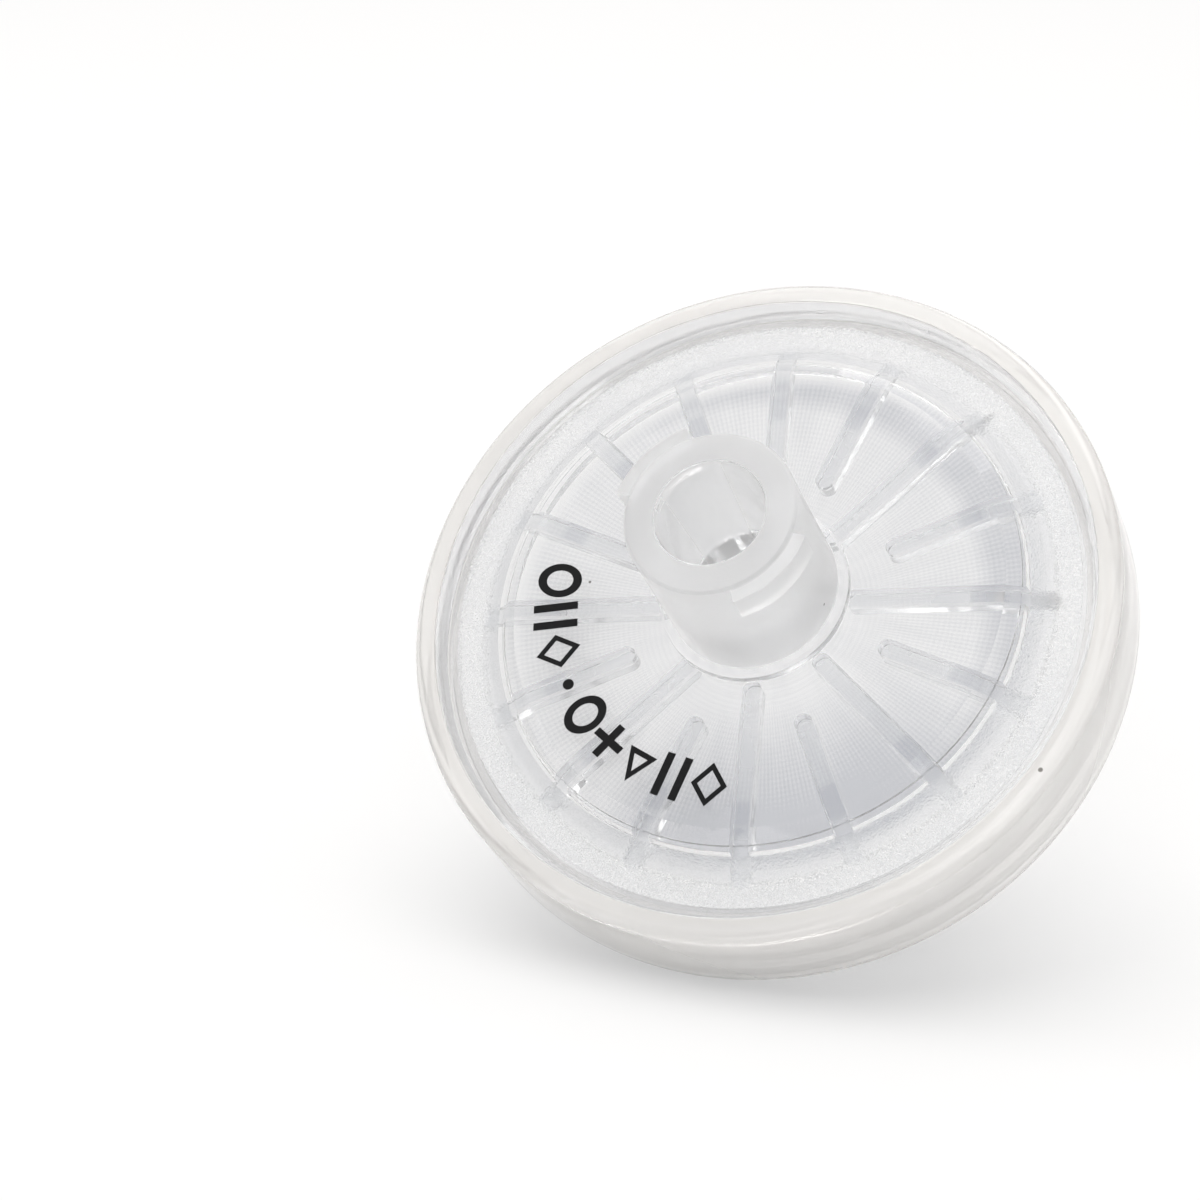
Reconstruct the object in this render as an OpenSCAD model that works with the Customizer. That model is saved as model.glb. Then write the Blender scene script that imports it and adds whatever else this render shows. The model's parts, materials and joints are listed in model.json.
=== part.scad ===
// Syringe filter with a 25 mm membrane: two clear housings clamp the membrane
// disc, and a ring moulded round both flanges seals the edge.
// Sizes are in millimetres. Inside each piece's module +Z runs along the flow
// axis towards the inlet, and zero is the flat top face of the window plate.
// lay_down() then turns the whole filter to the way it lies on a bench, on its
// rim and the end of its outlet tip, with the inlet rising towards the front.

/* [Inlet hub] */
// Outside diameter of the inlet hub
hub_d = 6.7; // [6.2:0.05:8.2]
// Height of the hub above the window plate
hub_h = 6.9; // [6.6:0.1:8.4]
// How far the foot ring stands out from the hub
foot_ring_w = 0.4; // [0.25:0.05:0.8]
// Height of the foot ring above the window plate
foot_ring_h = 0.45; // [0.3:0.05:0.9]
// How far each locking lug stands out from the hub
lug_reach = 0.525; // [0.35:0.025:0.7]
// Height of each lug along the hub
lug_h = 1.45; // [1.1:0.05:2]
// Angle that each lug spans round the hub
lug_arc = 56; // [40:1:68]
// Turn of the lugs about the axis, from the level line across the lying filter
lug_turn = -34; // [-90:1:90]
// Bevel round the top edges of the hub and its foot ring
hub_bevel = 0.12; // [0.06:0.02:0.2]

/* [Inlet socket] */
// Diameter of the female taper at its mouth
socket_mouth_d = 4.3; // [4.1:0.02:5.2]
// Length of the tapered wall
socket_taper_len = 6.6; // [5.6:0.1:7.2]
// Growth in diameter for each millimetre of taper length
taper_rate = 0.06; // [0.04:0.005:0.075]
// Length of the straight run below the taper
socket_run_len = 0.7; // [0.5:0.05:0.8]
// Diameter of the hole from the socket floor into the chamber
inlet_hole_d = 2.4; // [2:0.1:3]

/* [Rim] */
// Height of the rim from crest to underside
rim_h = 4.45; // [4.1:0.01:5.4]
// How far the rim's crest lies below the window plate
crest_drop = 0.5; // [0.3:0.05:0.7]
// Radius of the rim's outer edges
rim_round = 0.45; // [0.2:0.05:0.6]
// Width of the housings' flanges outside the membrane
flange_w = 0.68; // [0.5:0.02:1]
// Thickness of the sealing ring above and below the tongue
seal_wall = 0.9; // [0.75:0.05:1.3]
// How far the tongue of the two flanges reaches into the sealing ring
tongue_reach = 0.4; // [0.2:0.05:0.5]
// Height of the tongue above the face where the housings meet
tongue_up = 0.8; // [0.5:0.05:0.95]
// Height of the tongue below that face
tongue_down = 0.5; // [0.3:0.05:0.7]

/* [Top face] */
// Width of the sloping lip between the frosted groove and the rim's crest
lip_w = 0.74; // [0.5:0.02:0.9]
// Width of the frosted groove's floor
groove_w = 1.33; // [1.1:0.01:1.6]
// Depth of the groove at its outer side
groove_out_drop = 1.3; // [1.15:0.05:1.35]
// Depth of the groove at its inner side
groove_in_drop = 1.05; // [0.85:0.05:1.1]
// Width of the slope between the groove and the window's step
slope_w = 0.8; // [0.5:0.05:0.95]
// Small step at the foot of the window's bevel
step_drop = 0.12; // [0.06:0.02:0.2]
// Width of the bevel round the window
bevel_w = 0.56; // [0.3:0.02:0.7]
// Drop of the bevel
bevel_drop = 0.34; // [0.2:0.02:0.4]
// Thickness of the window plate
plate_t = 1.1; // [0.95:0.01:1.35]

/* [Membrane] */
// Diameter of the membrane disc
membrane_d = 25; // [23:0.1:30]
// Thickness of the membrane
membrane_t = 0.15; // [0.1:0.01:0.2]
// Width of the membrane's edge that the housings clamp
clamp_w = 1.1; // [0.8:0.05:1.3]
// Clearance between faces that meet
fit_gap = 0.02; // [0.01:0.01:0.04]

/* [Inlet chamber] */
// Height of the ribs under the window, which is the chamber's height
rib_h = 0.8; // [0.65:0.05:1]
// Width of a rib
rib_w = 0.72; // [0.5:0.02:0.9]
// Number of ribs, long and short by turns
rib_count = 16; // [12:4:20]
// Distance from the axis to a short rib's inner end
short_rib_from = 5.25; // [4.8:0.05:6]
// Turn of the ribs about the axis, from the level line across the lying filter
rib_turn = 10; // [-22:0.5:22]
// Width of the low shelf round the chamber's ceiling
shelf_w = 1.2; // [0.8:0.05:1.4]
// Height left under that shelf
shelf_h = 0.3; // [0.2:0.05:0.4]

/* [Outlet housing] */
// Height of the step that centres one housing in the other
register_h = 0.2; // [0.15:0.01:0.3]
// Thickness of the base plate under the membrane
base_t = 1.4; // [1.2:0.05:1.5]
// Depth of the drain grooves in the membrane's support face
drain_depth = 0.3; // [0.2:0.05:0.4]
// Width of a drain groove
drain_w = 0.5; // [0.3:0.05:0.6]
// Number of ring-shaped drain grooves
drain_rings = 7; // [4:1:8]
// Number of straight drain grooves that cross the rings
drain_spokes = 8; // [6:2:12]
// Width of the skirt between the sealing ring and the recess
skirt_w = 1; // [0.8:0.05:1.2]
// How far the skirt stops short of the sealing ring's underside
skirt_lift = 0.2; // [0.1:0.05:0.3]
// Width of each step inside the recess
recess_step_w = 1; // [0.6:0.05:1.2]
// Height of each step inside the recess
recess_step_h = 0.3; // [0.2:0.02:0.34]

/* [Outlet] */
// Outside diameter of the outlet neck
neck_d = 3.7; // [3.3:0.05:4.2]
// Length of the neck between the base plate and the collar
neck_len = 2.9; // [2.2:0.1:3.6]
// Thickness of a gusset
gusset_t = 0.7; // [0.5:0.05:0.9]
// Number of gussets round the neck
gusset_count = 4; // [3:1:6]
// How far the collar stands out from the taper's root
collar_step = 0.63; // [0.55:0.01:1.2]
// Length of the collar
collar_len = 3.3; // [2.6:0.1:4]
// Radius of the collar's lower edge
collar_round = 0.5; // [0.2:0.05:0.55]
// Diameter of the male taper at its end
tip_end_d = 3.96; // [3.7:0.02:4.8]
// Length of the male taper
tip_len = 8; // [7.5:0.1:10]
// Radius of the tip's end edge
tip_round = 0.2; // [0.1:0.05:0.3]
// Diameter of the flow channel through the outlet
channel_d = 2; // [1.6:0.1:2.4]

/* [Hidden] */
$fn = 96;
// Straight pieces in an arc of an outline
arc_steps = 6;
// Overlap that fuses two shapes of one piece
weld = 0.05;
// How far a cut runs past a face
overcut = 0.2;
// Steps inside the underside's recess
recess_steps = 3;

clear_tint = [0.90, 0.93, 0.97, 0.45];
seal_tint = [0.95, 0.94, 0.93, 0.6];
membrane_tint = [0.97, 0.97, 0.96];

// Radii from the membrane outwards
membrane_r = membrane_d / 2;
pocket_r = membrane_r + fit_gap;
flange_r = pocket_r + flange_w;
tongue_r = flange_r + tongue_reach;
rim_r = flange_r + seal_wall;

// Radii from the flange inwards
groove_r = flange_r - lip_w;
slope_r = groove_r - groove_w;
bevel_r = slope_r - slope_w;
window_r = bevel_r - bevel_w;
chamber_r = membrane_r - clamp_w;
shelf_r = chamber_r - shelf_w;
recess_r = flange_r - skirt_w;

// Heights down the axis
crest_z = -crest_drop;
rim_foot_z = crest_z - rim_h;
land_z = -plate_t - rib_h;
shelf_z = land_z + shelf_h;
seat_z = land_z - membrane_t - 2 * fit_gap;
parting_z = seat_z - register_h;
tongue_top_z = parting_z + tongue_up;
tongue_foot_z = parting_z - tongue_down;
base_z = seat_z - base_t;
skirt_foot_z = rim_foot_z + skirt_lift;
collar_top_z = base_z - neck_len;
collar_foot_z = collar_top_z - collar_len;
tip_z = collar_foot_z - tip_len;

// Hub and socket
hub_r = hub_d / 2;
lug_r = hub_r + lug_reach;
foot_ring_r = hub_r + foot_ring_w;
socket_r = socket_mouth_d / 2;
run_r = socket_r - taper_rate * socket_taper_len / 2;
run_top_z = hub_h - socket_taper_len;
socket_floor_z = run_top_z - socket_run_len;
inlet_hole_r = inlet_hole_d / 2;

// Outlet
neck_r = neck_d / 2;
channel_r = channel_d / 2;
tip_end_r = tip_end_d / 2;
tip_root_r = tip_end_r + taper_rate * tip_len / 2;
collar_r = tip_root_r + collar_step;
drain_pitch = (chamber_r - channel_r - drain_w) / (drain_rings + 1);

// The filter lies on the round of the rim's lower edge and the round of the tip's
// end, so the flow axis rises from the bench by the angle of their common tangent.
rim_round_r = rim_r - rim_round;
rim_round_z = rim_foot_z + rim_round;
crest_round_z = crest_z - rim_round;
tip_round_r = tip_end_r - tip_round;
tip_round_z = tip_z + tip_round;
rest_dr = rim_round_r - tip_round_r;
rest_dz = rim_round_z - tip_round_z;
rest_span = sqrt(rest_dr * rest_dr + rest_dz * rest_dz);
axis_rise = atan2(rest_dr, rest_dz) + asin((rim_round - tip_round) / rest_span);
lean = 90 - axis_rise;

// Lowest, foremost and rearmost points of the leaning filter
rest_low = rim_round_z * cos(lean) - rim_round_r * sin(lean) - rim_round;
rest_front = -crest_round_z * sin(lean) - rim_round_r * cos(lean) - rim_round;
rim_back = -rim_round_z * sin(lean) + rim_round_r * cos(lean) + rim_round;
tip_back = -tip_round_z * sin(lean) + tip_round_r * cos(lean) + tip_round;
rest_back = max(rim_back, tip_back);
rest_middle = (rest_front + rest_back) / 2;

// Points along an arc in an outline, from one angle to another
function arc(cx, cy, r, from, to) =
    [for (i = [0:arc_steps]) let (a = from + (to - from) * i / arc_steps)
        [cx + r * cos(a), cy + r * sin(a)]];

// Turns a piece from its own axis to the lying position, inlet to the front
module lay_down() {
    translate([0, -rest_middle, -rest_low]) rotate([lean, 0, 0]) children();
}

// A closed ring of rectangular section
module band(inner, outer, low, high) {
    rotate_extrude() translate([inner, low]) square([outer - inner, high - low]);
}

// One locking lug, from the hub's wall outwards
module lug() {
    rotate([0, 0, -lug_arc / 2])
        rotate_extrude(angle = lug_arc)
            translate([hub_r - overcut, hub_h - lug_h])
                square([lug_reach + overcut, lug_h]);
}

// One rib under the window, with a round inner end, that runs on under the shelf
module rib(from) {
    translate([from, -rib_w / 2, land_z])
        cube([shelf_r + weld - from, rib_w, rib_h + weld]);
    translate([shelf_r, -rib_w / 2, land_z])
        cube([chamber_r + weld - shelf_r, rib_w, shelf_h + weld]);
    translate([from, 0, land_z])
        cylinder(r = rib_w / 2, h = rib_h + weld);
}

// Female taper, its straight run and the hole into the chamber
module socket() {
    rotate_extrude() polygon([
        [0, hub_h + overcut], [socket_r + taper_rate * overcut / 2, hub_h + overcut],
        [run_r, run_top_z], [run_r, socket_floor_z],
        [inlet_hole_r, socket_floor_z], [inlet_hole_r, -plate_t - overcut],
        [0, -plate_t - overcut]]);
}

// Hub, window, frosted groove and clamping flange as one turned outline
module inlet_shell() {
    rotate_extrude() polygon([
        [0, hub_h],
        [hub_r - hub_bevel, hub_h], [hub_r, hub_h - hub_bevel],
        [hub_r, foot_ring_h], [foot_ring_r - hub_bevel, foot_ring_h],
        [foot_ring_r, foot_ring_h - hub_bevel], [foot_ring_r, 0],
        [window_r, 0], [bevel_r, -bevel_drop],
        [bevel_r, -bevel_drop - step_drop], [slope_r, -groove_in_drop],
        [groove_r, -groove_out_drop], [flange_r - fit_gap, crest_z],
        [flange_r - fit_gap, tongue_top_z - fit_gap],
        [tongue_r - fit_gap, tongue_top_z - fit_gap],
        [tongue_r - fit_gap, parting_z],
        [pocket_r + fit_gap, parting_z], [pocket_r + fit_gap, land_z],
        [chamber_r, land_z], [chamber_r, shelf_z], [shelf_r, shelf_z],
        [shelf_r, -plate_t], [0, -plate_t]]);
}

module inlet_housing() {
    color(clear_tint) lay_down() difference() {
        union() {
            inlet_shell();
            for (side = [0, 180]) rotate([0, 0, lug_turn + side]) lug();
            for (i = [0:rib_count - 1])
                rotate([0, 0, rib_turn + i * 360 / rib_count])
                    rib(i % 2 == 0 ? foot_ring_r : short_rib_from + rib_w / 2);
        }
        socket();
    }
}

// Base plate, skirt, collar and male taper as one turned outline
module outlet_shell() {
    rotate_extrude() polygon(concat(
        [[0, seat_z], [pocket_r, seat_z], [pocket_r, parting_z - fit_gap],
         [tongue_r - fit_gap, parting_z - fit_gap],
         [tongue_r - fit_gap, tongue_foot_z + fit_gap],
         [flange_r - fit_gap, tongue_foot_z + fit_gap],
         [flange_r - fit_gap, skirt_foot_z], [recess_r, skirt_foot_z]],
        [for (i = [0:recess_steps - 1])
            let (r = recess_r - i * recess_step_w,
                 z = base_z - (recess_steps - 1 - i) * recess_step_h)
            each [[r, z], [r - recess_step_w, z]]],
        [[neck_r, base_z], [neck_r, collar_top_z], [collar_r, collar_top_z]],
        arc(collar_r - collar_round, collar_foot_z + collar_round, collar_round, 0, -90),
        [[tip_root_r, collar_foot_z]],
        arc(tip_round_r, tip_round_z, tip_round, 0, -90),
        [[0, tip_z]]));
}

// Straight web between the neck, the base plate and the collar
module gusset() {
    translate([0, -gusset_t / 2, collar_top_z - weld])
        cube([collar_r - weld, gusset_t, neck_len + 2 * weld]);
}

// Ring and spoke grooves that drain the support face into the channel
module drains() {
    for (i = [1:drain_rings])
        band(channel_r + i * drain_pitch, channel_r + i * drain_pitch + drain_w,
            seat_z - drain_depth, seat_z + overcut);
    for (i = [0:drain_spokes - 1])
        rotate([0, 0, rib_turn + (i + 0.5) * 360 / drain_spokes])
            translate([0, -drain_w / 2, seat_z - drain_depth])
                cube([chamber_r - drain_w, drain_w, drain_depth + overcut]);
}

module outlet_housing() {
    color(clear_tint) lay_down() difference() {
        union() {
            outlet_shell();
            for (i = [0:gusset_count - 1])
                rotate([0, 0, rib_turn + i * 360 / gusset_count]) gusset();
        }
        drains();
        translate([0, 0, tip_z - overcut])
            cylinder(r = channel_r, h = seat_z - tip_z + 2 * overcut);
    }
}

// The moulded ring that wraps the tongue of the two flanges
module sealing_ring() {
    color(seal_tint) lay_down() rotate_extrude() polygon(concat(
        [[flange_r, crest_z]],
        arc(rim_round_r, crest_round_z, rim_round, 90, 0),
        arc(rim_round_r, rim_round_z, rim_round, 0, -90),
        [[flange_r, rim_foot_z], [flange_r, tongue_foot_z],
         [tongue_r, tongue_foot_z], [tongue_r, tongue_top_z],
         [flange_r, tongue_top_z]]));
}

module membrane() {
    color(membrane_tint) lay_down() translate([0, 0, seat_z + fit_gap])
        cylinder(r = membrane_r, h = membrane_t);
}

inlet_housing();
outlet_housing();
sealing_ring();
membrane();
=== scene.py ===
import json
import math

import bmesh
import bpy
from mathutils import Matrix, Vector


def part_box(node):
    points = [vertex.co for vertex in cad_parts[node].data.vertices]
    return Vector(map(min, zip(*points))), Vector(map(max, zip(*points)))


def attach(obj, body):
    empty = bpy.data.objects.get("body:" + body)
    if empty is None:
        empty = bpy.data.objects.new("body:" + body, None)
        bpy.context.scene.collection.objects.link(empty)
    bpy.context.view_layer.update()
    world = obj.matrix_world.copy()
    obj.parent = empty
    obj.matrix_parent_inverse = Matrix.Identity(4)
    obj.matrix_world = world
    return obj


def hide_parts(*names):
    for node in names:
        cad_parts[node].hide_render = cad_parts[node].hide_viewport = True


mm = 0.001
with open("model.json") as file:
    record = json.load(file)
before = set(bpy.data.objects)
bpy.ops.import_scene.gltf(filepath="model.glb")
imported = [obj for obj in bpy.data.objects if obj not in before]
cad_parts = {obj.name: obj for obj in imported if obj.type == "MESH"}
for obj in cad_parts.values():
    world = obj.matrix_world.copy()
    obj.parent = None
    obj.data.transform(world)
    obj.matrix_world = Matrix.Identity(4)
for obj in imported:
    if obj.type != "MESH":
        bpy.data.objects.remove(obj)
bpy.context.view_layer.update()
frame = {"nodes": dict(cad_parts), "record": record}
print("frame loaded:", ", ".join(sorted(frame["nodes"])))

# Sizes that two or more pieces share, in millimetres, apart from what the frame gives
bodySizes = {
    "hubHeight": 6.9,
    "fit": 0.02,
    "pocketWall": 0.68,
    "outerSlopeWidth": 0.74,
    "grooveFloorWidth": 1.33,
    "innerSlopeWidth": 0.8,
    "windowBevelWidth": 0.56,
    "frostedSlopeWidth": 0.5,
    "clampWidth": 1.1,
    "shelfWidth": 1.2,
    "skirtWidth": 1.0,
    "crestDrop": 0.5,
    "rimDrop": 4.95,
    "ceilingDrop": 1.1,
    "landDrop": 1.9,
    "shelfRise": 0.3,
    "membraneThickness": 0.15,
    "partingDrop": 0.2,
    "tongueRise": 0.8,
    "tongueDrop": 0.5,
    "outletPlate": 1.4,
    "skirtRise": 0.2,
    "neckLength": 2.9,
    "collarLength": 3.3,
    "tipLength": 8.0,
}

# The flow axis, from the mouth of the inlet hub. Every piece is shaped upright round Z, with the
# top of the window plate at zero, and then laid down onto this axis.
mounts = {mount["name"]: mount for mount in frame["record"]["mounts"]}
hubMouth = Vector(mounts["inlet_luer_taper"]["pos_m"])
flowAxis = Vector(mounts["inlet_luer_taper"]["axis"])
hubHeight = bodySizes["hubHeight"]
plateCentre = hubMouth - flowAxis * hubHeight * mm
lean = math.atan2(-flowAxis.y, flowAxis.z)
layDown = Matrix.Translation(plateCentre) @ Matrix.Rotation(lean, 4, "X")


def halfWidth(node):
    low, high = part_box(node)
    return round((high[0] - low[0]) / 2 / mm, 3)


# Radii from the membrane outwards, then from the flange inwards
fit = bodySizes["fit"]
membraneRadius = halfWidth("membrane")
rimRadius = halfWidth("sealing_ring")
tongueRadius = halfWidth("outlet_housing")
pocketRadius = membraneRadius + fit
flangeRadius = pocketRadius + bodySizes["pocketWall"]
grooveRadius = flangeRadius - bodySizes["outerSlopeWidth"]
slopeRadius = grooveRadius - bodySizes["grooveFloorWidth"]
bevelRadius = slopeRadius - bodySizes["innerSlopeWidth"]
windowRadius = bevelRadius - bodySizes["windowBevelWidth"]
frostFrom = slopeRadius - bodySizes["frostedSlopeWidth"]
chamberRadius = membraneRadius - bodySizes["clampWidth"]
shelfRadius = chamberRadius - bodySizes["shelfWidth"]
recessRadius = flangeRadius - bodySizes["skirtWidth"]

# Heights along the axis
crest = -bodySizes["crestDrop"]
rimFoot = -bodySizes["rimDrop"]
ceiling = -bodySizes["ceilingDrop"]
land = -bodySizes["landDrop"]
shelf = land + bodySizes["shelfRise"]
seat = land - bodySizes["membraneThickness"] - 2 * fit
parting = seat - bodySizes["partingDrop"]
tongueTop = parting + bodySizes["tongueRise"]
tongueFoot = parting - bodySizes["tongueDrop"]
base = seat - bodySizes["outletPlate"]
skirtFoot = rimFoot + bodySizes["skirtRise"]
collarTop = base - bodySizes["neckLength"]
collarFoot = collarTop - bodySizes["collarLength"]
tipEnd = collarFoot - bodySizes["tipLength"]
runTop = hubHeight - mounts["inlet_luer_taper"]["dims"]["length_mm"]
socketFloor = runTop - mounts["inlet_socket_run"]["dims"]["length_mm"]

near = 0.01  # places closer than this are taken as the same


def onlySelect(piece):
    bpy.ops.object.select_all(action="DESELECT")
    piece.select_set(True)
    bpy.context.view_layer.objects.active = piece


def arc(cx, cz, r, start, end, parts=8):
    # Points along an arc, with its start and end in degrees
    turns = [math.radians(start + (end - start) * i / parts) for i in range(parts + 1)]
    return [(cx + r * math.cos(t), cz + r * math.sin(t)) for t in turns]


def drawOutline(name, outline, y):
    # A plane merged to one point and extruded along the outline, left selected in edit mode
    bpy.ops.object.select_all(action="DESELECT")
    bpy.ops.mesh.primitive_plane_add(size=mm)
    piece = bpy.context.object
    piece.name = name
    bpy.ops.object.mode_set(mode="EDIT")
    bpy.ops.mesh.select_mode(type="VERT")
    bpy.ops.mesh.select_all(action="SELECT")
    bpy.ops.mesh.merge(type="CENTER")
    x, z = outline[0]
    bpy.ops.transform.translate(value=(x * mm, y * mm, z * mm))
    for nextX, nextZ in outline[1:]:
        step = ((nextX - x) * mm, 0, (nextZ - z) * mm)
        bpy.ops.mesh.extrude_region_move(TRANSFORM_OT_translate={"value": step})
        x, z = nextX, nextZ
    bpy.ops.mesh.select_all(action="SELECT")
    return piece


def turnOutline(name, outline, steps):
    # The outline spun round Z, with its seam and poles closed
    piece = drawOutline(name, outline, 0)
    bpy.ops.mesh.spin(steps=steps, angle=math.tau, center=(0, 0, 0), axis=(0, 0, 1))
    bpy.ops.mesh.select_all(action="SELECT")
    bpy.ops.mesh.remove_doubles(threshold=0.0005 * mm)
    bpy.ops.mesh.normals_make_consistent(inside=False)
    bpy.ops.object.mode_set(mode="OBJECT")
    return piece


def softenEdges(piece, width):
    onlySelect(piece)
    bpy.ops.object.modifier_add(type="BEVEL")
    bevel = piece.modifiers[-1]
    bevel.width = width * mm
    bevel.segments = 2
    bevel.limit_method = "ANGLE"
    bevel.angle_limit = math.radians(32)  # under this the turned curves stay as they are
    bevel.miter_outer = "MITER_ARC"
    bpy.ops.object.modifier_apply(modifier=bevel.name)


def combine(piece, tool, operation):
    onlySelect(piece)
    bpy.ops.object.modifier_add(type="BOOLEAN")
    change = piece.modifiers[-1]
    change.operation = operation
    change.solver = "EXACT"
    change.object = tool
    bpy.ops.object.modifier_apply(modifier=change.name)
    onlySelect(tool)
    bpy.ops.object.delete()


def joinPieces(pieces):
    bpy.ops.object.select_all(action="DESELECT")
    for piece in pieces:
        piece.select_set(True)
    bpy.context.view_layer.objects.active = pieces[0]
    bpy.ops.object.join()
    joined = bpy.context.object
    onlySelect(joined)
    bpy.ops.object.transform_apply(location=True, rotation=True, scale=True)
    return joined


def copyRound(pattern, turns):
    # One copy of the pattern for each turn, joined into a single tool
    copies = []
    for turn in turns:
        onlySelect(pattern)
        bpy.ops.object.duplicate(linked=False)
        copy = bpy.context.object
        copy.rotation_euler.z = turn
        copies.append(copy)
    joined = joinPieces(copies)
    onlySelect(pattern)
    bpy.ops.object.delete()
    return joined


def slabOutline(name, outline, width):
    # The outline filled and pulled out to a slab
    piece = drawOutline(name, outline, -width / 2)
    bpy.ops.mesh.edge_face_add()
    bpy.ops.mesh.extrude_region_move(TRANSFORM_OT_translate={"value": (0, width * mm, 0)})
    bpy.ops.mesh.select_all(action="SELECT")
    bpy.ops.mesh.normals_make_consistent(inside=False)
    bpy.ops.object.mode_set(mode="OBJECT")
    return piece


def block(name, low, high):
    bpy.ops.object.select_all(action="DESELECT")
    centre = [(a + b) / 2 * mm for a, b in zip(low, high)]
    bpy.ops.mesh.primitive_cube_add(size=1, location=centre)
    piece = bpy.context.object
    piece.name = name
    piece.scale = [(b - a) * mm for a, b in zip(low, high)]
    bpy.ops.object.transform_apply(location=True, rotation=True, scale=True)
    return piece


def bevelWhere(piece, test, width, segments):
    # Bevels the edges whose middle and direction pass the test
    onlySelect(piece)
    bpy.ops.object.mode_set(mode="EDIT")
    bpy.ops.mesh.select_mode(type="EDGE")
    bpy.ops.mesh.select_all(action="DESELECT")
    shape = bmesh.from_edit_mesh(piece.data)
    for edge in shape.edges:
        a, b = (vert.co / mm for vert in edge.verts)
        edge.select = test((a + b) / 2, (b - a).normalized())
    bmesh.update_edit_mesh(piece.data)
    bpy.ops.mesh.bevel(offset=width * mm, segments=segments, affect="EDGES")
    bpy.ops.object.mode_set(mode="OBJECT")


def upright(way):
    return abs(way.z) > 0.9


def finishPiece(piece, node):
    onlySelect(piece)
    bpy.ops.object.shade_smooth_by_angle(angle=math.radians(15))  # flat faces stay flat
    piece.matrix_world = layDown
    bpy.ops.object.transform_apply(location=True, rotation=True, scale=True)
    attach(piece, "root")
    if node:
        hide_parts(node)


inletSizes = {
    "hubRadius": 3.35,
    "hubBevel": 0.12,
    "footRingWidth": 0.4,
    "footRingHeight": 0.45,
    "lugReach": 0.525,
    "lugHeight": 1.45,
    "lugArc": 56.25,
    "lugTurn": -33.75,
    "bevelDrop": 0.34,
    "stepDrop": 0.12,
    "grooveInDrop": 1.05,
    "grooveOutDrop": 1.3,
    "ribWidth": 0.72,
    "ribCount": 16,
    "ribTurn": 10,
    "shortRibFrom": 5.25,
    "ribIntoWall": 0.05,
    "ribIntoRoof": 0.1,
    "ribIntoShelf": 0.2,
    "ribFootBevel": 0.05,
    "ribEndRound": 0.98,  # of half the rib's width
    "holeRadius": 1.2,
    "softEdge": 0.04,
    "steps": 192,
}


def pullLugs(piece):
    # The hub's wall faces inside either lug's arc are pulled straight out from the axis
    s = inletSizes
    onlySelect(piece)
    bpy.ops.object.mode_set(mode="EDIT")
    bpy.ops.mesh.select_mode(type="FACE")
    bpy.ops.mesh.select_all(action="DESELECT")
    shape = bmesh.from_edit_mesh(piece.data)
    for face in shape.faces:
        at = face.calc_center_median() / mm
        turn = (math.degrees(math.atan2(at.y, at.x)) - s["lugTurn"] + 90) % 180 - 90
        wall = abs(math.hypot(at.x, at.y) - s["hubRadius"]) < near
        inHeight = hubHeight - s["lugHeight"] < at.z < hubHeight - s["hubBevel"]
        face.select = wall and inHeight and abs(turn) < s["lugArc"] / 2
    bmesh.update_edit_mesh(piece.data)
    reach = (s["hubRadius"] + s["lugReach"]) / s["hubRadius"]
    bpy.ops.mesh.extrude_region_move(TRANSFORM_OT_translate={"value": (0, 0, 0)})
    bpy.ops.transform.resize(value=(reach, reach, 1), center_override=(0, 0, 0))
    bpy.ops.object.mode_set(mode="OBJECT")


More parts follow.
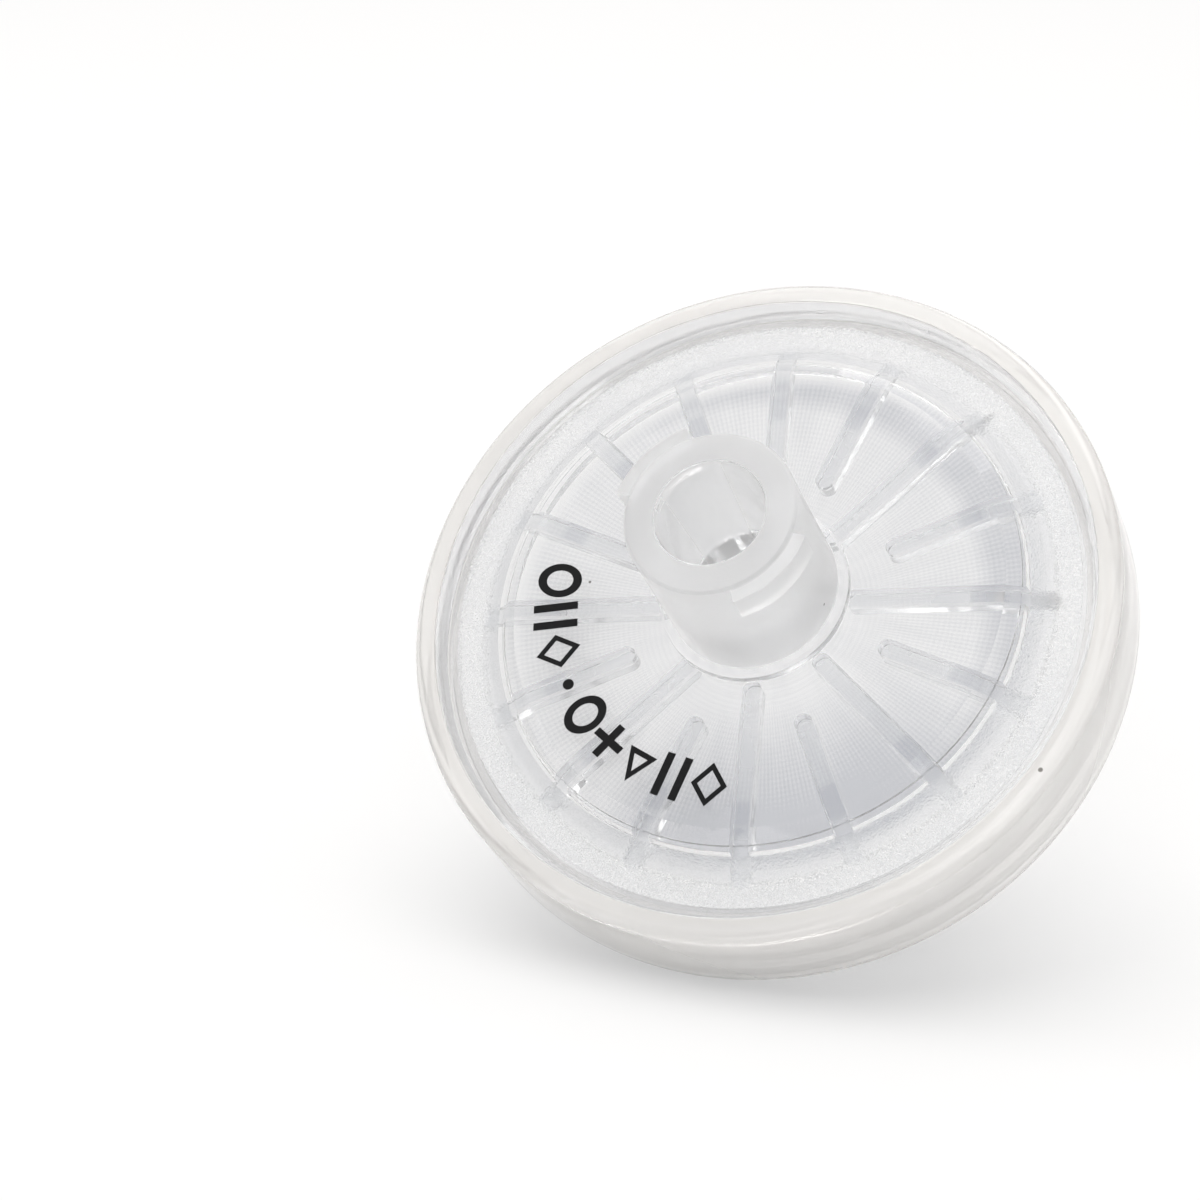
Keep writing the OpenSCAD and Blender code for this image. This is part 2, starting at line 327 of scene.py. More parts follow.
def makeInletHousing():
    s = inletSizes
    mouth = mounts["inlet_luer_taper"]["dims"]["r_mm"]
    run = mounts["inlet_socket_run"]["dims"]["r_mm"]
    foot = s["hubRadius"] + s["footRingWidth"]
    stepFoot = -s["bevelDrop"] - s["stepDrop"]
    # Where the frosting starts on the slope down into the groove
    frostTop = stepFoot + ((-s["grooveInDrop"] - stepFoot) * (frostFrom - bevelRadius)
                           / (slopeRadius - bevelRadius))
    piece = turnOutline("inletHousing", [
        (s["holeRadius"], ceiling), (s["holeRadius"], socketFloor),
        (run, socketFloor), (run, runTop), (mouth, hubHeight),
        (s["hubRadius"] - s["hubBevel"], hubHeight), (s["hubRadius"], hubHeight - s["hubBevel"]),
        (s["hubRadius"], hubHeight - s["lugHeight"]),
        (s["hubRadius"], s["footRingHeight"]), (foot - s["hubBevel"], s["footRingHeight"]),
        (foot, s["footRingHeight"] - s["hubBevel"]), (foot, 0),
        (windowRadius, 0), (bevelRadius, -s["bevelDrop"]),
        (bevelRadius, stepFoot), (frostFrom, frostTop), (slopeRadius, -s["grooveInDrop"]),
        (grooveRadius, -s["grooveOutDrop"]), (flangeRadius - fit, crest),
        (flangeRadius - fit, tongueTop - fit), (tongueRadius, tongueTop - fit),
        (tongueRadius, parting), (pocketRadius + fit, parting), (pocketRadius + fit, land),
        (chamberRadius, land), (chamberRadius, shelf), (shelfRadius, shelf),
        (shelfRadius, ceiling), (s["holeRadius"], ceiling)], s["steps"])
    pullLugs(piece)
    softenEdges(piece, s["softEdge"])

    # Long and short ribs by turns, each sunk a little into the wall, the roof and the shelf
    half = s["ribWidth"] / 2
    wall, ledge = chamberRadius + s["ribIntoWall"], shelfRadius + s["ribIntoShelf"]
    ledgeTop, top = shelf + s["ribIntoRoof"], ceiling + s["ribIntoRoof"]
    for inner, offset in ((foot - half, 0), (s["shortRibFrom"], 1)):
        rib = slabOutline("rib", [
            (inner, land), (wall, land), (wall, ledgeTop), (ledge, ledgeTop), (ledge, top),
            (inner, top)], s["ribWidth"])
        bevelWhere(rib, lambda mid, way: mid.x < inner + near and upright(way),
                   half * s["ribEndRound"], segments=8)
        bevelWhere(rib, lambda mid, way: mid.z < land + near and mid.x < chamberRadius,
                   s["ribFootBevel"], segments=2)
        turns = [math.radians(s["ribTurn"]) + math.tau * (2 * i + offset) / s["ribCount"]
                 for i in range(s["ribCount"] // 2)]
        combine(piece, copyRound(rib, turns), "UNION")
    return piece


outletSizes = {
    "neckRadius": 1.85,
    "gussetThickness": 0.7,
    "gussetCount": 4,
    "gussetIntoNeck": 0.3,
    "gussetIntoPlate": 0.05,
    "gussetBevel": 0.08,
    "collarStep": 0.63,
    "collarRound": 0.5,
    "tipRound": 0.2,
    "channelRadius": 1.0,
    "taperRate": 0.06,
    "recessStepWidth": 1.0,
    "recessStepHeight": 0.3,
    "recessSteps": 3,
    "drainWidth": 0.5,
    "drainDepth": 0.3,
    "drainRings": 7,
    "drainSpokes": 8,
    "spokeRise": 0.01,
    "spokeTop": 0.2,
    "satinRadius": 4.0,
    "softEdge": 0.04,
    "steps": 192,
}


def makeOutletHousing():
    s = outletSizes
    taper = mounts["outlet_luer_taper"]["dims"]
    root = taper["r_mm"] + s["taperRate"] * taper["length_mm"] / 2
    collar = root + s["collarStep"]
    outline = [(s["channelRadius"], seat)]
    pitch = (chamberRadius - s["channelRadius"] - s["drainWidth"]) / (s["drainRings"] + 1)
    for ring in range(s["drainRings"]):
        inner = s["channelRadius"] + (ring + 1) * pitch
        outer = inner + s["drainWidth"]
        floor = seat - s["drainDepth"]
        outline += [(inner, seat), (inner, floor), (outer, floor), (outer, seat)]
    outline += [
        (pocketRadius, seat), (pocketRadius, parting - fit), (tongueRadius, parting - fit),
        (tongueRadius, tongueFoot + fit), (flangeRadius - fit, tongueFoot + fit),
        (flangeRadius - fit, skirtFoot), (recessRadius, skirtFoot)]
    for step in range(s["recessSteps"]):
        r = recessRadius - step * s["recessStepWidth"]
        z = base - (s["recessSteps"] - 1 - step) * s["recessStepHeight"]
        outline += [(r, z), (r - s["recessStepWidth"], z)]
    outline += [(s["neckRadius"], base), (s["neckRadius"], collarTop), (collar, collarTop)]
    edge, tip = s["collarRound"], s["tipRound"]
    outline += arc(collar - edge, collarFoot + edge, edge, 0, -90)
    outline += [(root, collarFoot)]
    outline += arc(taper["r_mm"] - tip, tipEnd + tip, tip, 0, -90)
    outline += [(s["channelRadius"], tipEnd), (s["channelRadius"], seat)]
    piece = turnOutline("outletHousing", outline, s["steps"])
    softenEdges(piece, s["softEdge"])

    half, sunk = s["gussetThickness"] / 2, s["gussetIntoPlate"]
    gusset = block("gusset", (s["neckRadius"] - s["gussetIntoNeck"], -half, collarTop - sunk),
                   (collar - sunk, half, base + sunk))
    bevelWhere(gusset, lambda mid, way: mid.x > collar - 2 * sunk and upright(way),
               s["gussetBevel"], segments=3)
    turns = [math.radians(inletSizes["ribTurn"]) + math.tau * i / s["gussetCount"]
             for i in range(s["gussetCount"])]
    combine(piece, copyRound(gusset, turns), "UNION")

    spoke = block("spoke", (0, -s["drainWidth"] / 2, seat - s["drainDepth"] + s["spokeRise"]),
                  (chamberRadius - s["drainWidth"], s["drainWidth"] / 2, seat + s["spokeTop"]))
    turns = [math.radians(inletSizes["ribTurn"]) + math.tau * (i + 0.5) / s["drainSpokes"]
             for i in range(s["drainSpokes"])]
    combine(piece, copyRound(spoke, turns), "DIFFERENCE")
    return piece


ringSizes = {"edgeRound": 0.45, "softEdge": 0.03, "steps": 256}


def makeSealingRing():
    s = ringSizes
    edgeRound = s["edgeRound"]
    outline = [(flangeRadius, crest)]
    outline += arc(rimRadius - edgeRound, crest - edgeRound, edgeRound, 90, 0)
    outline += arc(rimRadius - edgeRound, rimFoot + edgeRound, edgeRound, 0, -90)
    pocket = tongueRadius + fit
    outline += [(flangeRadius, rimFoot), (flangeRadius, tongueFoot), (pocket, tongueFoot),
                (pocket, tongueTop), (flangeRadius, tongueTop), (flangeRadius, crest)]
    piece = turnOutline("sealingRing", outline, s["steps"])
    softenEdges(piece, s["softEdge"])
    return piece


membraneSizes = {"freeTo": chamberRadius - 0.3, "softEdge": 0.02, "steps": 192}


def makeMembrane():
    s = membraneSizes
    top = land - fit
    foot = seat + fit
    piece = turnOutline("membraneDisc", [
        (0, top), (s["freeTo"], top), (membraneRadius, top), (membraneRadius, foot),
        (s["freeTo"], foot), (0, foot)], s["steps"])
    softenEdges(piece, s["softEdge"])
    return piece


markSizes = {
    "middle": 8.05,
    "height": 1.8,
    "width": 1.45,
    "stroke": 0.32,
    "cornerStroke": 0.2,
    "from": 184,
    "to": 272,
    "lift": 0.002,
    "thickness": 0.02,
    "shapes": ("ring", "bars", "square", "dot", "ring", "cross", "triangle", "bars", "square"),
    "sides": {"ring": 48, "square": 4, "triangle": 3},
    "dotRadius": 0.7,  # of the stroke, as the next shares are of the height and width
    "dotSteps": 32,
    "crossHeight": 0.85,
    "crossWidth": 0.95,
    "crossRise": 0.001,
    "barOffset": 0.26,
}


def frameMark(sides, high, wide):
    # A flat closed frame with an even stroke: a strip 1 mm across, turned in three, four or many
    # steps, and then scaled to its height and width
    s = markSizes
    outer, thick = 0.5, s["thickness"]
    stroke = s["stroke"] if sides > 4 else s["cornerStroke"]
    inner = outer - stroke / math.cos(math.pi / sides) / (high + wide) * 4 * outer
    mark = turnOutline(
        "mark", [(outer, 0), (outer, thick), (inner, thick), (inner, 0), (outer, 0)], sides)
    mark.scale = (high, wide, 1)
    onlySelect(mark)
    bpy.ops.object.transform_apply(location=True, rotation=True, scale=True)
    return mark


def barMark(across, high, wide, lift=0):
    top = markSizes["thickness"] + lift
    return block("bar", (-high / 2, across - wide / 2, lift), (high / 2, across + wide / 2, top))


def makeMarks():
    s = markSizes
    high, wide, stroke = s["height"], s["width"], s["stroke"]
    marks = []
    for i, shape in enumerate(s["shapes"]):
        if shape in s["sides"]:
            parts = [frameMark(s["sides"][shape], high, wide)]
        elif shape == "dot":
            r, thick = stroke * s["dotRadius"], s["thickness"]
            parts = [turnOutline("dot", [(0, 0), (r, 0), (r, thick), (0, thick)], s["dotSteps"])]
        elif shape == "cross":
            parts = [barMark(0, high * s["crossHeight"], stroke)]
            crossBar = barMark(0, stroke, wide * s["crossWidth"], s["crossRise"])
            combine(parts[0], crossBar, "UNION")
        else:
            offset = wide * s["barOffset"]
            parts = [barMark(across, high, stroke) for across in (-offset, offset)]
        turn = math.radians(s["from"] + (s["to"] - s["from"]) * i / (len(s["shapes"]) - 1))
        out = Matrix.Translation((s["middle"] * mm, 0, s["lift"] * mm))
        place = Matrix.Rotation(turn, 4, "Z") @ out
        for part in parts:
            part.matrix_world = place
            marks.append(part)
    piece = joinPieces(marks)
    piece.name = "printedMarks"
    return piece


def newMaterial(name):
    material = bpy.data.materials.new(name)
    material.use_nodes = True
    material.node_tree.nodes.clear()
    return material, material.node_tree.nodes, material.node_tree.links


def newGroup(name, inputs, outputs):
    group = bpy.data.node_groups.new(name, "ShaderNodeTree")
    for label, kind, value in inputs:
        socket = group.interface.new_socket(label, in_out="INPUT", socket_type=kind)
        if value is not None:
            socket.default_value = value
    for label, kind in outputs:
        group.interface.new_socket(label, in_out="OUTPUT", socket_type=kind)
    nodes = group.nodes
    return group, nodes, group.links, nodes.new("NodeGroupInput"), nodes.new("NodeGroupOutput")


def feed(links, socket, value):
    # Another node's socket is linked, and anything else is set
    if isinstance(value, bpy.types.NodeSocket):
        links.new(value, socket)
    else:
        socket.default_value = value


def maths(nodes, links, operation, *values):
    node = nodes.new("ShaderNodeMath")
    node.operation = operation
    for socket, value in zip(node.inputs, values):
        feed(links, socket, value)
    return node.outputs[0]


def ramp(nodes, links, value, low, high, top, bottom=0):
    # From bottom where the value is low to top where it is high, and flat beyond
    node = nodes.new("ShaderNodeMapRange")
    node.inputs["From Min"].default_value = low
    feed(links, node.inputs["From Max"], high)
    node.inputs["To Min"].default_value = bottom
    node.inputs["To Max"].default_value = top
    links.new(value, node.inputs["Value"])
    return node.outputs["Result"]


def mixColour(nodes, links, factor, first, second):
    # The first colour where the factor is 0 and the second where it is 1
    node = nodes.new("ShaderNodeMix")
    node.data_type = "RGBA"
    for label, colour in (("A", first), ("B", second)):
        feed(links, node.inputs[label], (*colour, 1) if isinstance(colour, tuple) else colour)
    links.new(factor, node.inputs["Factor"])
    return node.outputs["Result"]


def noise(nodes, links, place, scale, detail):
    node = nodes.new("ShaderNodeTexNoise")
    node.inputs["Detail"].default_value = detail
    links.new(place, node.inputs["Vector"])
    feed(links, node.inputs["Scale"], scale)
    return node.outputs["Fac"]


def distance(nodes, links, place, centre):
    node = nodes.new("ShaderNodeVectorMath")
    node.operation = "DISTANCE"
    links.new(place, node.inputs[0])
    feed(links, node.inputs[1], centre)
    return node.outputs["Value"]


def addBump(nodes, links, shader, height, strength, depth):
    bump = nodes.new("ShaderNodeBump")
    bump.inputs["Strength"].default_value = strength
    bump.inputs["Distance"].default_value = depth * mm
    links.new(height, bump.inputs["Height"])
    links.new(bump.outputs["Normal"], shader.inputs["Normal"])


def useGroup(nodes, links, group, **given):
    node = nodes.new("ShaderNodeGroup")
    node.node_tree = group
    for label, value in given.items():
        feed(links, node.inputs[label], value)
    return node.outputs


def findPlace(nodes, links):
    laid = nodes.new("ShaderNodeTexCoord").outputs["Object"]
    return useGroup(nodes, links, uprightPlace, Vector=laid)


def makeUprightPlace():
    # Places in millimetres in the upright piece's own frame, with the turn and radius round Z
    group, nodes, links, given, out = newGroup(
        "uprightPlace", [("Vector", "NodeSocketVector", None)],
        [("Place", "NodeSocketVector"), ("Turn", "NodeSocketFloat"), ("Radius", "NodeSocketFloat"),
         ("Height", "NodeSocketFloat")])
    lay = nodes.new("ShaderNodeMapping")
    lay.vector_type = "TEXTURE"
    lay.inputs["Location"].default_value = plateCentre
    lay.inputs["Rotation"].default_value = (lean, 0, 0)
    lay.inputs["Scale"].default_value = (mm, mm, mm)
    parts = nodes.new("ShaderNodeSeparateXYZ")
    links.new(given.outputs["Vector"], lay.inputs["Vector"])
    links.new(lay.outputs["Vector"], parts.inputs["Vector"])
    x, y, z = parts.outputs
    links.new(lay.outputs["Vector"], out.inputs["Place"])
    links.new(maths(nodes, links, "ARCTAN2", y, x), out.inputs["Turn"])
    square = maths(nodes, links, "ADD", maths(nodes, links, "MULTIPLY", x, x),
                   maths(nodes, links, "MULTIPLY", y, y))
    links.new(maths(nodes, links, "SQRT", square), out.inputs["Radius"])
    links.new(z, out.inputs["Height"])
    return group


grainSizes = {"slow": 0.35, "waves": 0.9, "mottleEdge": (0.4, 0.62)}


def makeMouldGrain():
    # Grain of the mould's surface and the slow clouding of the plastic behind it
    group, nodes, links, given, out = newGroup(
        "mouldGrain", [("Place", "NodeSocketVector", None), ("Fineness", "NodeSocketFloat", 4.0),
                       ("Waves", "NodeSocketFloat", 0.3)],
        [("Grain", "NodeSocketFloat"), ("Cloud", "NodeSocketFloat"), ("Mottle", "NodeSocketFloat")])
    place = given.outputs["Place"]
    fine = noise(nodes, links, place, given.outputs["Fineness"], detail=2)
    slow = noise(nodes, links, place, grainSizes["slow"], detail=3)
    waves = noise(nodes, links, place, grainSizes["waves"], detail=1)
    swell = maths(nodes, links, "MULTIPLY", waves, given.outputs["Waves"])
    links.new(maths(nodes, links, "ADD", fine, swell), out.inputs["Grain"])
    links.new(slow, out.inputs["Cloud"])
    links.new(ramp(nodes, links, fine, *grainSizes["mottleEdge"], 1), out.inputs["Mottle"])
    return group


def makeSpeck():
    # One small dark inclusion: 1 inside its radius, 0 outside
    group, nodes, links, given, out = newGroup(
        "speck", [("Place", "NodeSocketVector", None), ("Centre", "NodeSocketVector", None),
                  ("Size", "NodeSocketFloat", 0.1)], [("Mask", "NodeSocketFloat")])
    apart = distance(nodes, links, given.outputs["Place"], given.outputs["Centre"])
    # The blurred edge takes the outer third
    inside = ramp(nodes, links, apart, 0, given.outputs["Size"], 0, 1)
    links.new(maths(nodes, links, "MINIMUM", maths(nodes, links, "MULTIPLY", inside, 3), 1),
              out.inputs["Mask"])
    return group


# Clouding runs between light and dark, and through is the share of light that is let in and bent.
# Fineness, waves, strength and depth shape the surface's grain. A band of painted shade is a darker
# ring: from, to, how dark and how blurred.
plasticFinishes = {
    "clear": {"light": (0.99, 0.991, 0.993), "dark": (0.965, 0.968, 0.974), "rough": 0.04,
              "through": 0.9, "fineness": 2.0, "waves": 0.6, "strength": 0.03, "depth": 0.012},
    "frost": {"light": (1.0, 1.0, 1.0), "dark": (0.79, 0.806, 0.835), "rough": 0.25, "mottle": 0.45,
              "through": 0.73, "fineness": 10.0, "waves": 0.2, "strength": 1.0, "depth": 0.08,
              # The frost's band is painted shade, darker next to the window's bevel
              "band": (10.5, 11.3, 0.2, 0.3)},
    "bore": {"light": (1.0, 1.0, 1.0), "dark": (0.975, 0.978, 0.985), "rough": 0.08,
             "through": 0.72, "fineness": 3.0, "waves": 0.6, "strength": 0.04, "depth": 0.01},
    "hub": {"light": (1.0, 1.0, 1.0), "dark": (0.975, 0.976, 0.98), "rough": 0.5,
            "through": 0.8, "fineness": 9.0, "waves": 0.6, "strength": 0.16, "depth": 0.02},
    # The hub's end face: the hub's plastic in darker colours, which are painted shade
    "hubFacePaintedShade": {"light": (0.87, 0.87, 0.873), "dark": (0.8, 0.802, 0.808), "rough": 0.4,
                "through": 0.65, "fineness": 9.0, "waves": 0.6, "strength": 0.16, "depth": 0.02},
    "ribFoot": {"light": (0.83, 0.84, 0.86), "dark": (0.79, 0.8, 0.822), "rough": 0.08,
                "through": 0.72, "fineness": 3.0, "waves": 0.6, "strength": 0.05, "depth": 0.01,
                # The ribs' band is painted shade, a darker stretch across the ribs' feet
                "band": (8.2, 9.2, 0.55, 0.15)},
    "ring": {"light": (1.0, 0.986, 0.968), "dark": (0.97, 0.955, 0.936), "rough": 0.08,
             "through": 0.68, "fineness": 2.5, "waves": 0.6, "strength": 0.05, "depth": 0.015},
}
# The colour of the bands of painted shade
bandColour = (0.5, 0.52, 0.58)
speckColour = (0.12, 0.11, 0.1)
plasticIor = 1.49
passedLight = 0.98  # the share of light that passes each skin of plastic to what lies behind it
# Where small dark inclusions lie, and their radius
specks = {
    "ring": ((12.52, -5.31, -0.5), 0.11),
    "clear": ((-6.8, -0.45, 0), 0.07),
    "hub": ((3.29, -0.64, 1.3), 0.07),
}


def makePlastic(name):
    s = plasticFinishes[name]
    material, nodes, links = newMaterial(name + "Plastic")
    out = nodes.new("ShaderNodeOutputMaterial")
    shader = nodes.new("ShaderNodeBsdfPrincipled")
    shader.inputs["IOR"].default_value = plasticIor
    shader.inputs["Transmission Weight"].default_value = s["through"]
    shader.inputs["Roughness"].default_value = s["rough"]
    at = findPlace(nodes, links)
    place = at["Place"]
    grain = useGroup(nodes, links, mouldGrain, Place=place, Fineness=s["fineness"],
                     Waves=s["waves"])
    tone = grain["Cloud"]
    if "mottle" in s:
        tone = maths(nodes, links, "ADD", maths(nodes, links, "MULTIPLY", tone, 1 - s["mottle"]),
                     maths(nodes, links, "MULTIPLY", grain["Mottle"], s["mottle"]))
    colour = mixColour(nodes, links, tone, s["light"], s["dark"])
    if "band" in s:
        # Painted shade: darker between two radii, with soft edges
        inner, outer, depth, blur = s["band"]
        off = maths(nodes, links, "ABSOLUTE",
                    maths(nodes, links, "SUBTRACT", at["Radius"], (inner + outer) / 2))
        half = (outer - inner) / 2
        shadeAmount = ramp(nodes, links, off, half + blur, half - blur, depth)
        colour = mixColour(nodes, links, shadeAmount, colour, bandColour)
    if name in specks:
        centre, size = specks[name]
        mask = useGroup(nodes, links, speck, Place=place, Centre=centre, Size=size)["Mask"]
        colour = mixColour(nodes, links, mask, colour, speckColour)
    links.new(colour, shader.inputs["Base Color"])
    addBump(nodes, links, shader, grain["Grain"], s["strength"], s["depth"])
    # Light that falls on what lies behind the plastic passes straight through it
    path = nodes.new("ShaderNodeLightPath")
    passing = maths(nodes, links, "MAXIMUM", path.outputs["Is Shadow Ray"],
                    path.outputs["Is Diffuse Ray"])
    through = nodes.new("ShaderNodeBsdfTransparent")
    through.inputs["Color"].default_value = (passedLight, passedLight, passedLight, 1)
    mix = nodes.new("ShaderNodeMixShader")
    links.new(passing, mix.inputs["Fac"])
    links.new(shader.outputs["BSDF"], mix.inputs[1])
    links.new(through.outputs["BSDF"], mix.inputs[2])
    links.new(mix.outputs["Shader"], out.inputs["Surface"])
    return material


membraneFinish = {
    "light": (0.985, 0.985, 0.985),
    "dark": (0.55, 0.565, 0.61),
    "rough": 0.65,
    "lines": 300,
    "pitch": 0.21,
    "spokeShare": 0.35,
    "roundShare": 0.18,
    "lineDepth": 0.34,
    "streaks": 0.16,
    "streakScale": 7,
    "streakLength": 0.03,
    "streakEdge": (0.35, 0.65),
    # The entries from here to rimShade place painted shade: darker outwards, most of all towards
    # one turn, and in a crescent along one edge
    "outwardShade": 0.06,
    "outwardFrom": 4,
    "shadeTurn": -68,
    "shade": 1.0,
    "shadeEdge": (0.62, 0.95),
    "rimCentre": (-1.0, -0.8),
    "rimEdge": (9.5, 10.3),
    "rimShade": 0.5,
    "windowEdgeBlur": 0.6,
    "strength": 0.3,
    "depth": 0.01,
}


def makeMembraneMaterial():
    s = membraneFinish
    material, nodes, links = newMaterial("porousMembrane")
    out = nodes.new("ShaderNodeOutputMaterial")
    shader = nodes.new("ShaderNodeBsdfPrincipled")
    shader.inputs["Roughness"].default_value = s["rough"]
    at = findPlace(nodes, links)
    turn, radius = at["Turn"], at["Radius"]
    # Fine lines run out from the axis, and weaker ones run round it, both about one half
    spokes = maths(nodes, links, "SINE", maths(nodes, links, "MULTIPLY", turn, s["lines"]))
    rounds = maths(nodes, links, "SINE",
                   maths(nodes, links, "MULTIPLY", radius, math.tau / s["pitch"]))
    both = maths(nodes, links, "ADD", maths(nodes, links, "MULTIPLY", spokes, s["spokeShare"]),
                 maths(nodes, links, "MULTIPLY", rounds, s["roundShare"]))
    lines = maths(nodes, links, "MULTIPLY", maths(nodes, links, "ADD", both, 0.5), s["lineDepth"])
    # Slow streaks, long outwards and narrow round the disc
    polar = nodes.new("ShaderNodeCombineXYZ")
    links.new(maths(nodes, links, "COSINE", turn), polar.inputs["X"])
    links.new(maths(nodes, links, "SINE", turn), polar.inputs["Y"])
    links.new(maths(nodes, links, "MULTIPLY", radius, s["streakLength"]), polar.inputs["Z"])
    streaks = noise(nodes, links, polar.outputs["Vector"], s["streakScale"], detail=4)
    streaks = ramp(nodes, links, streaks, *s["streakEdge"], s["streaks"])
    # Painted shade: darker away from the hub, most of all on one side and along one edge
    outwardShade = ramp(nodes, links, radius, s["outwardFrom"], windowRadius, 1)
    off = maths(nodes, links, "COSINE",
                maths(nodes, links, "SUBTRACT", turn, math.radians(s["shadeTurn"])))
    sideShade = maths(nodes, links, "ADD", ramp(nodes, links, off, *s["shadeEdge"], s["shade"]),
                 s["outwardShade"])
    # A crescent of painted shade along one edge of the window
    apart = distance(nodes, links, at["Place"], (*s["rimCentre"], land))
    crescentShade = ramp(nodes, links, apart, *s["rimEdge"], s["rimShade"])
    tone = lines
    for part in (streaks, maths(nodes, links, "MULTIPLY", outwardShade, sideShade), crescentShade):
        tone = maths(nodes, links, "ADD", tone, part)
    # Outside the window, on the clamped edge, there are no lines, streaks or painted shade
    inside = ramp(nodes, links, radius, windowRadius, windowRadius + s["windowEdgeBlur"], 0, 1)
    tone = maths(nodes, links, "MULTIPLY", tone, inside)
    # The tone mixes the membrane's own lines and streaks with the painted shade
    colour = mixColour(nodes, links, tone, s["light"], s["dark"])
    links.new(colour, shader.inputs["Base Color"])
    addBump(nodes, links, shader, lines, s["strength"], s["depth"])
    links.new(shader.outputs["BSDF"], out.inputs["Surface"])
    return material


inkFinish = {
    "light": (0.014, 0.014, 0.015),
    "dark": (0.003, 0.003, 0.0035),
    "rough": (0.4, 0.65),
    "gloss": 0.15,
    "fineness": 6,
}


def makeInk():
    s = inkFinish
    material, nodes, links = newMaterial("padPrintInk")
    out = nodes.new("ShaderNodeOutputMaterial")
    shader = nodes.new("ShaderNodeBsdfPrincipled")
    shader.inputs["Specular IOR Level"].default_value = s["gloss"]
    place = findPlace(nodes, links)["Place"]
    patches = noise(nodes, links, place, s["fineness"], detail=4)
    colour = mixColour(nodes, links, patches, s["dark"], s["light"])
    links.new(colour, shader.inputs["Base Color"])
    smoothest, roughest = s["rough"]
    links.new(ramp(nodes, links, patches, 0, 1, roughest, smoothest), shader.inputs["Roughness"])
    links.new(shader.outputs["BSDF"], out.inputs["Surface"])
    return material


def assignWhere(piece, materials, choose=lambda at, normal: 0):
    # A function of each face's middle, in millimetres, and normal chooses among the materials
    for material in materials:
        piece.data.materials.append(material)
    for face in piece.data.polygons:
        face.material_index = choose(face.center / mm, face.normal)


# The order of the finishes in each housing's material slots
inletOrder = ("clear", "frost", "hub", "ribFoot", "bore", "hubFacePaintedShade")
outletOrder = ("clear", "hub")
past = 0.1  # a finish takes in faces this far past its boundary, such as softened edges


def inletFinish(at, normal):
    # The bore takes in the hole below it, and the ribs' feet are what touches the membrane
    s = inletSizes
    r = math.hypot(at.x, at.y)
    boreRadius = mounts["inlet_luer_taper"]["dims"]["r_mm"] + past
    facesUp = normal.z > 0.2
    name = "clear"
    if r < s["holeRadius"] + past or (r < boreRadius and at.z > socketFloor - fit):
        name = "bore"
    elif at.z > s["footRingHeight"] + fit and r > boreRadius:
        # The end face takes the darker copy of the hub's finish, painted shade
        name = "hubFacePaintedShade" if at.z > hubHeight - s["hubBevel"] else "hub"
    elif frostFrom < r < grooveRadius + past and at.z > -s["grooveOutDrop"] - past and facesUp:
        name = "frost"
    elif r < chamberRadius and at.z < land + fit:
        name = "ribFoot"
    return inletOrder.index(name)


def outletFinish(at, normal):
    # The neck, collar and tip are satin like the hub
    satin = at.z < base - past and math.hypot(at.x, at.y) < outletSizes["satinRadius"]
    return outletOrder.index("hub" if satin else "clear")


uprightPlace, mouldGrain, speck = makeUprightPlace(), makeMouldGrain(), makeSpeck()
finishes = {name: makePlastic(name) for name in plasticFinishes}
membraneWhite, ink = makeMembraneMaterial(), makeInk()
print("materials made:", len(bpy.data.materials))

inletHousing = makeInletHousing()
assignWhere(inletHousing, [finishes[name] for name in inletOrder], inletFinish)
finishPiece(inletHousing, "inlet_housing")
print("inlet housing made:", len(inletHousing.data.polygons), "faces")

outletHousing = makeOutletHousing()
assignWhere(outletHousing, [finishes[name] for name in outletOrder], outletFinish)
finishPiece(outletHousing, "outlet_housing")
print("outlet housing made:", len(outletHousing.data.polygons), "faces")

sealingRing = makeSealingRing()
assignWhere(sealingRing, [finishes["ring"]])
finishPiece(sealingRing, "sealing_ring")
print("sealing ring made:", len(sealingRing.data.polygons), "faces")

membraneDisc = makeMembrane()
assignWhere(membraneDisc, [membraneWhite])
finishPiece(membraneDisc, "membrane")
print("membrane made:", len(membraneDisc.data.polygons), "faces")

printedMarks = makeMarks()
assignWhere(printedMarks, [ink])
finishPiece(printedMarks, None)
print("marks made:", len(printedMarks.data.polygons), "faces")


stageSizes = {
    "floorSize": 4.0,
    "floorTone": (0.76, 0.76, 0.76),
    "floorGlow": 0.19,
    "skyLow": 0.62,
    "skyHigh": 0.85,
    "skyTop": 0.7,
    "screenWay": (-0.92, -0.39, 0),
    "screenEdge": (0.7, 0.9),
    "screenLevel": 0.4,
}
lamps = {
    "keyLamp": {"place": (-0.06, 0.1, 0.4), "size": 0.4, "power": 0.9,
                "colour": (1, 0.98, 0.96)},
    "fillLamp": {"place": (0.1, -0.3, 0.25), "size": 0.25, "power": 0.24,
                 "colour": (1, 0.99, 0.98)},
}
cameraSizes = {
    "azimuth": 22.87,
    "elevation": 18.76,
    "lens": 115.29,
    "sensor": 36,
    "offsetRight": 5.863,
    "offsetUp": 0.452,
    "distance": 147.551,
    "aimHeight": 0.45,
    "clipStart": 0.001,
    "clipEnd": 20,
}


def seenRays(nodes, links):
    # 1 for what the camera sees straight on, in gloss or through clear plastic
    path = nodes.new("ShaderNodeLightPath").outputs
    seen = maths(nodes, links, "MAXIMUM", path["Is Camera Ray"], path["Is Glossy Ray"])
    return maths(nodes, links, "MAXIMUM", seen, path["Is Transmission Ray"])


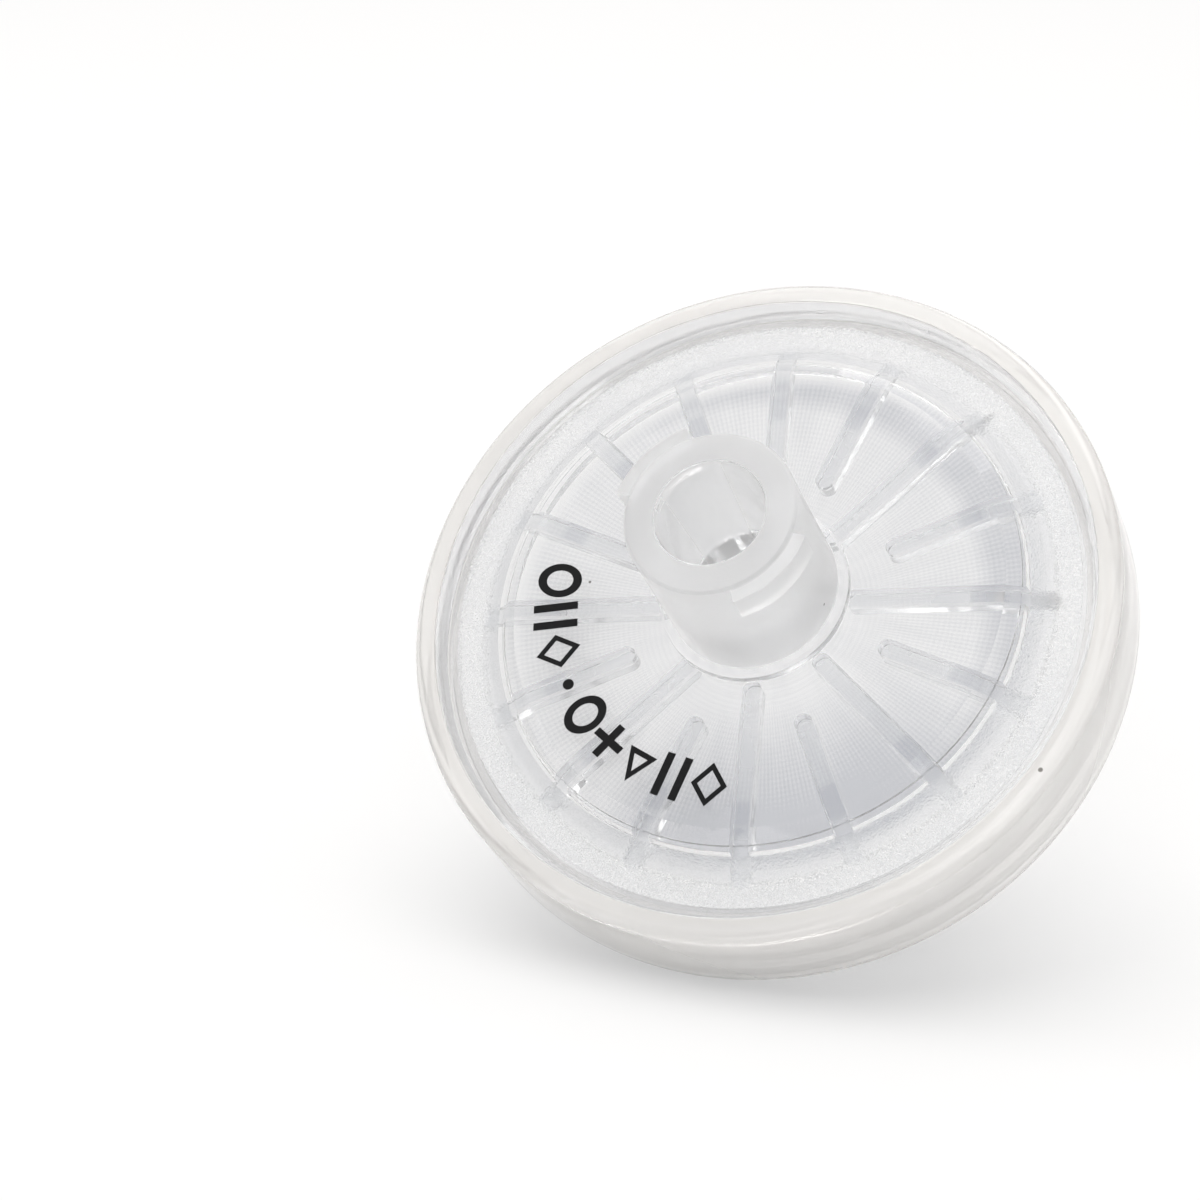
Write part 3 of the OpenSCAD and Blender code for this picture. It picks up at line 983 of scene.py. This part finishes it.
def makeFloor():
    s = stageSizes
    bpy.ops.object.select_all(action="DESELECT")
    bpy.ops.mesh.primitive_plane_add(size=s["floorSize"])
    floor = bpy.context.object
    floor.name = "floor"
    material, nodes, links = newMaterial("paleFloor")
    out = nodes.new("ShaderNodeOutputMaterial")
    diffuse = nodes.new("ShaderNodeBsdfDiffuse")
    diffuse.inputs["Color"].default_value = (*s["floorTone"], 1)
    glow = nodes.new("ShaderNodeEmission")
    add = nodes.new("ShaderNodeAddShader")
    glowing = maths(nodes, links, "MULTIPLY", seenRays(nodes, links), s["floorGlow"])
    links.new(glowing, glow.inputs["Strength"])
    links.new(diffuse.outputs[0], add.inputs[0])
    links.new(glow.outputs[0], add.inputs[1])
    links.new(add.outputs[0], out.inputs["Surface"])
    floor.data.materials.append(material)


def makeSky():
    # Bright overhead, dimmer low down, with a dark screen to the left of the object, and plain
    # white where the camera sees it straight on
    s = stageSizes
    world = bpy.data.worlds.new("studio")
    bpy.context.scene.world = world
    world.use_nodes = True
    nodes, links = world.node_tree.nodes, world.node_tree.links
    nodes.clear()
    out = nodes.new("ShaderNodeOutputWorld")
    back = nodes.new("ShaderNodeBackground")
    way = nodes.new("ShaderNodeTexCoord").outputs["Generated"]
    parts = nodes.new("ShaderNodeSeparateXYZ")
    links.new(way, parts.inputs["Vector"])
    across = nodes.new("ShaderNodeVectorMath")
    across.operation = "DOT_PRODUCT"
    across.inputs[1].default_value = s["screenWay"]
    links.new(way, across.inputs[0])
    sky = ramp(nodes, links, parts.outputs["Z"], 0, s["skyTop"], s["skyHigh"], s["skyLow"])
    screen = ramp(nodes, links, across.outputs["Value"], *s["screenEdge"], s["screenLevel"], 1)
    level = maths(nodes, links, "MULTIPLY", sky, screen)
    camera = nodes.new("ShaderNodeLightPath").outputs["Is Camera Ray"]
    links.new(maths(nodes, links, "MAXIMUM", level, camera), back.inputs["Strength"])
    links.new(back.outputs[0], out.inputs["Surface"])


def makeLamp(name):
    s = lamps[name]
    bpy.ops.object.select_all(action="DESELECT")
    bpy.ops.object.light_add(type="AREA", location=s["place"])
    lamp = bpy.context.object
    lamp.name = name
    lamp.data.size = s["size"]
    lamp.data.energy = s["power"]
    lamp.data.color = s["colour"]
    lamp.rotation_euler = (plateCentre - Vector(s["place"])).to_track_quat("-Z", "Y").to_euler()


def makeCamera():
    s = cameraSizes
    azimuth, elevation = math.radians(s["azimuth"]), math.radians(s["elevation"])
    right = Vector((math.cos(azimuth), math.sin(azimuth), 0))
    level = math.cos(elevation)
    ahead = Vector((-math.sin(azimuth) * level, math.cos(azimuth) * level, -math.sin(elevation)))
    up = right.cross(ahead)
    aim = plateCentre + flowAxis * s["aimHeight"] * mm
    place = aim - (s["offsetRight"] * right + s["offsetUp"] * up + s["distance"] * ahead) * mm
    bpy.ops.object.camera_add(location=place)
    camera = bpy.context.object
    camera.rotation_euler = ahead.to_track_quat("-Z", "Y").to_euler()
    camera.data.lens = s["lens"]
    camera.data.sensor_width = s["sensor"]
    camera.data.clip_start = s["clipStart"]
    camera.data.clip_end = s["clipEnd"]
    bpy.context.scene.camera = camera


makeFloor()
makeSky()
for lampName in lamps:
    makeLamp(lampName)
makeCamera()
bpy.context.scene.view_settings.view_transform = "Standard"
print("stage made: floor, sky,", len(lamps), "lamps, camera")
